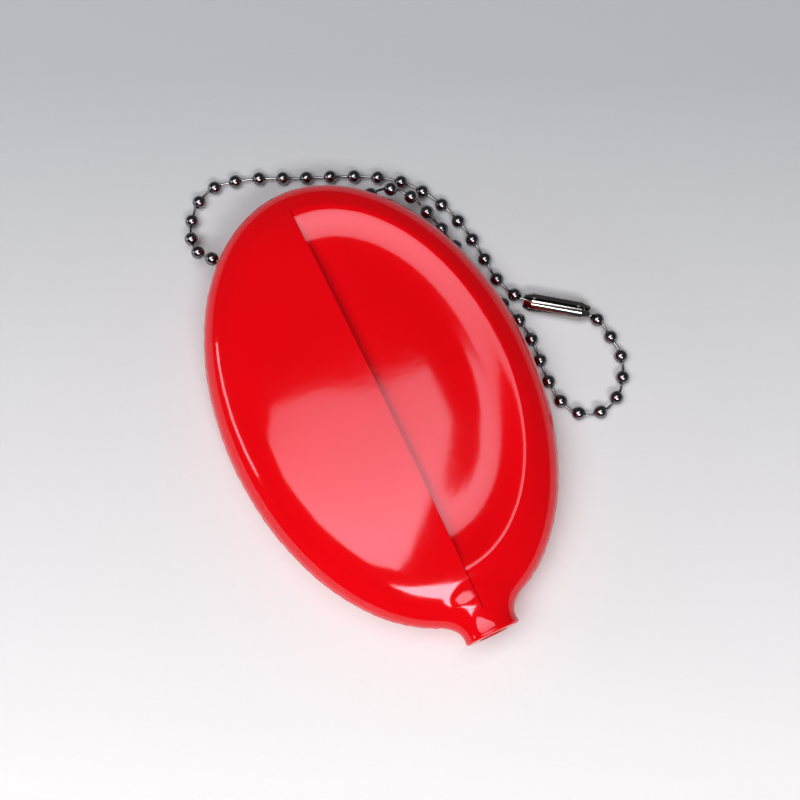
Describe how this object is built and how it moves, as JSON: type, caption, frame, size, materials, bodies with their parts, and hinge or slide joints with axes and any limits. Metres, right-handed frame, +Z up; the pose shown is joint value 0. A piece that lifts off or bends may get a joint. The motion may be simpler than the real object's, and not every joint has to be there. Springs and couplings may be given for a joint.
{
  "type": "squeeze coin purse",
  "caption": "Oval squeeze purse of flexible vinyl with a lengthwise slit between two sprung lips, an open neck and a ball chain through its rim.",
  "frame": {"origin": "centre of the oval, on the flat of the underside", "axes": "+Z up, -Y along the neck, +Y towards the chain holes, +X to the side with the pushed-in lip"},
  "size_m": [0.069, 0.0929, 0.016],
  "materials": {
    "vinyl": "glossy soft red vinyl, one moulding",
    "bead_steel": "plated steel, mirror bright",
    "link_steel": "drawn steel wire",
    "connector_steel": "rolled plated sheet"
  },
  "bodies": {
    "purse": {"purse_body": "vinyl", "inner_run_beads": "bead_steel", "inner_run_links": "link_steel"},
    "left_lip": {"left_lip": "vinyl"},
    "right_lip": {"right_lip": "vinyl"},
    "left_curl": {"left_curl_beads": "bead_steel", "left_curl_links": "link_steel"},
    "back_run": {"back_run_beads": "bead_steel", "back_run_links": "link_steel"},
    "side_run": {"side_run_beads": "bead_steel", "side_run_links": "link_steel"},
    "connector": {"connector": "connector_steel", "connector_beads": "bead_steel", "connector_link": "link_steel"},
    "loop_curl": {"loop_curl_beads": "bead_steel", "loop_curl_links": "link_steel"},
    "loop_return": {"loop_return_beads": "bead_steel", "loop_return_links": "link_steel"},
    "inner_strand": {"inner_strand_beads": "bead_steel", "inner_strand_links": "link_steel"}
  },
  "joints": [
    {"name": "left_lip_flex", "type": "hinge", "parent": "purse", "child": "left_lip", "pos_m": [-0.0225, 0, 0.0125], "axis": [0, -1, 0], "range_deg": [0, 40], "stiffness_Nm_per_rad": 0.01},
    {"name": "right_lip_flex", "type": "hinge", "parent": "purse", "child": "right_lip", "pos_m": [0.0225, 0, 0.0125], "axis": [0, 1, 0], "range_deg": [0, 40], "stiffness_Nm_per_rad": 0.01},
    {"name": "left_hole_swing", "type": "hinge", "parent": "purse", "child": "left_curl", "pos_m": [-0.01348, 0.03297, 0.00699], "axis": [0, 0, 1], "range_deg": [0, 25]},
    {"name": "curl_to_back_swing", "type": "hinge", "parent": "left_curl", "child": "back_run", "pos_m": [-0.00442, 0.04795, 0.0012], "axis": [0, 0, 1], "range_deg": [0, 18]},
    {"name": "back_to_side_swing", "type": "hinge", "parent": "back_run", "child": "side_run", "pos_m": [0.01847, 0.03748, 0.0012], "axis": [0, 0, 1], "range_deg": [0, 16]},
    {"name": "connector_swing", "type": "hinge", "parent": "side_run", "child": "connector", "pos_m": [0.03025, 0.00729, 0.00148], "axis": [0, 0, 1], "range_deg": [0, 12]},
    {"name": "loop_swing", "type": "hinge", "parent": "connector", "child": "loop_curl", "pos_m": [0.03902, 0.00001, 0.00168], "axis": [0, 0, 1], "range_deg": [0, 15]},
    {"name": "return_swing", "type": "hinge", "parent": "loop_curl", "child": "loop_return", "pos_m": [0.02936, -0.01457, 0.0012], "axis": [0, 0, 1], "range_deg": [0, 8]},
    {"name": "right_hole_swing", "type": "hinge", "parent": "purse", "child": "inner_strand", "pos_m": [0.01529, 0.03388, 0.00686], "axis": [0, 0, 1], "range_deg": [0, 8]}
  ],
  "couplings": [
    {"joint": "right_lip_flex", "follows": "left_lip_flex", "ratio": 1},
    {"joint": "right_hole_swing", "follows": "back_to_side_swing", "ratio": 0.5}
  ]
}
